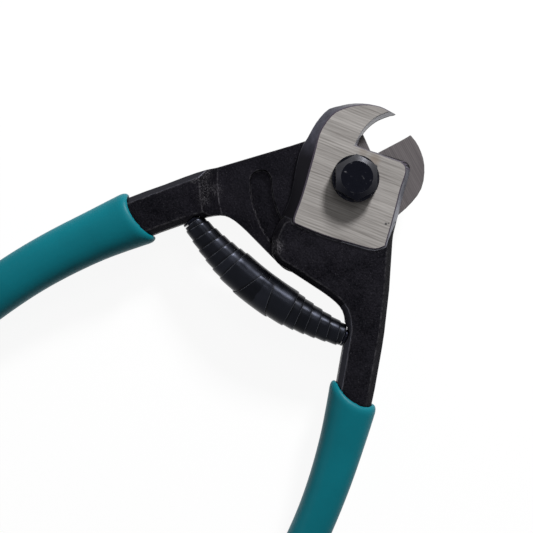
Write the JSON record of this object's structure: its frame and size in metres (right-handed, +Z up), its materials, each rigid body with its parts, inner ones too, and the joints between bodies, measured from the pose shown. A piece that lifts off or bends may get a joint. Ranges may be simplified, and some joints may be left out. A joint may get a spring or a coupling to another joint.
{
  "type": "hand cable cutter",
  "caption": "Hand cable cutter with a hooked blade and a vee jaw on lapped forged arms, a bolt pivot, a double volute spring and dipped grips.",
  "frame": {"origin": "pivot axis at the lower end face of the pivot bolt, which rests on the surface that the tool lies on", "axes": "+Z up along the pivot axis towards the bolt's head, +Y towards the jaws along the line midway between the handles, +X towards the handle of the front arm"},
  "size_m": [0.1457, 0.1771, 0.023],
  "materials": {
    "forged_steel": "black oxide on forged steel, with the blade faces ground bright",
    "vinyl_grip": "satin dipped vinyl",
    "black_oxide_steel": "black oxide, worn at the edges",
    "bright_steel": "plain turned steel",
    "spring_steel": "black spring strip"
  },
  "bodies": {
    "rear_arm": {"rear_arm": "forged_steel", "rear_grip": "vinyl_grip", "rear_spring_seat": "black_oxide_steel", "pivot_bolt": "black_oxide_steel", "pivot_washer": "black_oxide_steel", "pivot_nut": "black_oxide_steel", "volute_spring": "spring_steel"},
    "front_arm": {"front_arm": "forged_steel", "front_grip": "vinyl_grip", "front_spring_seat": "black_oxide_steel", "stop_pin": "bright_steel"}
  },
  "joints": [
    {"name": "handle_pivot", "type": "hinge", "parent": "rear_arm", "child": "front_arm", "pos_m": [0, 0, 0.0118], "axis": [0, 0, 1], "range_deg": [-40, 0], "stiffness_Nm_per_rad": 3, "springref_deg": 17.19, "deforming": ["volute_spring"]}
  ]
}
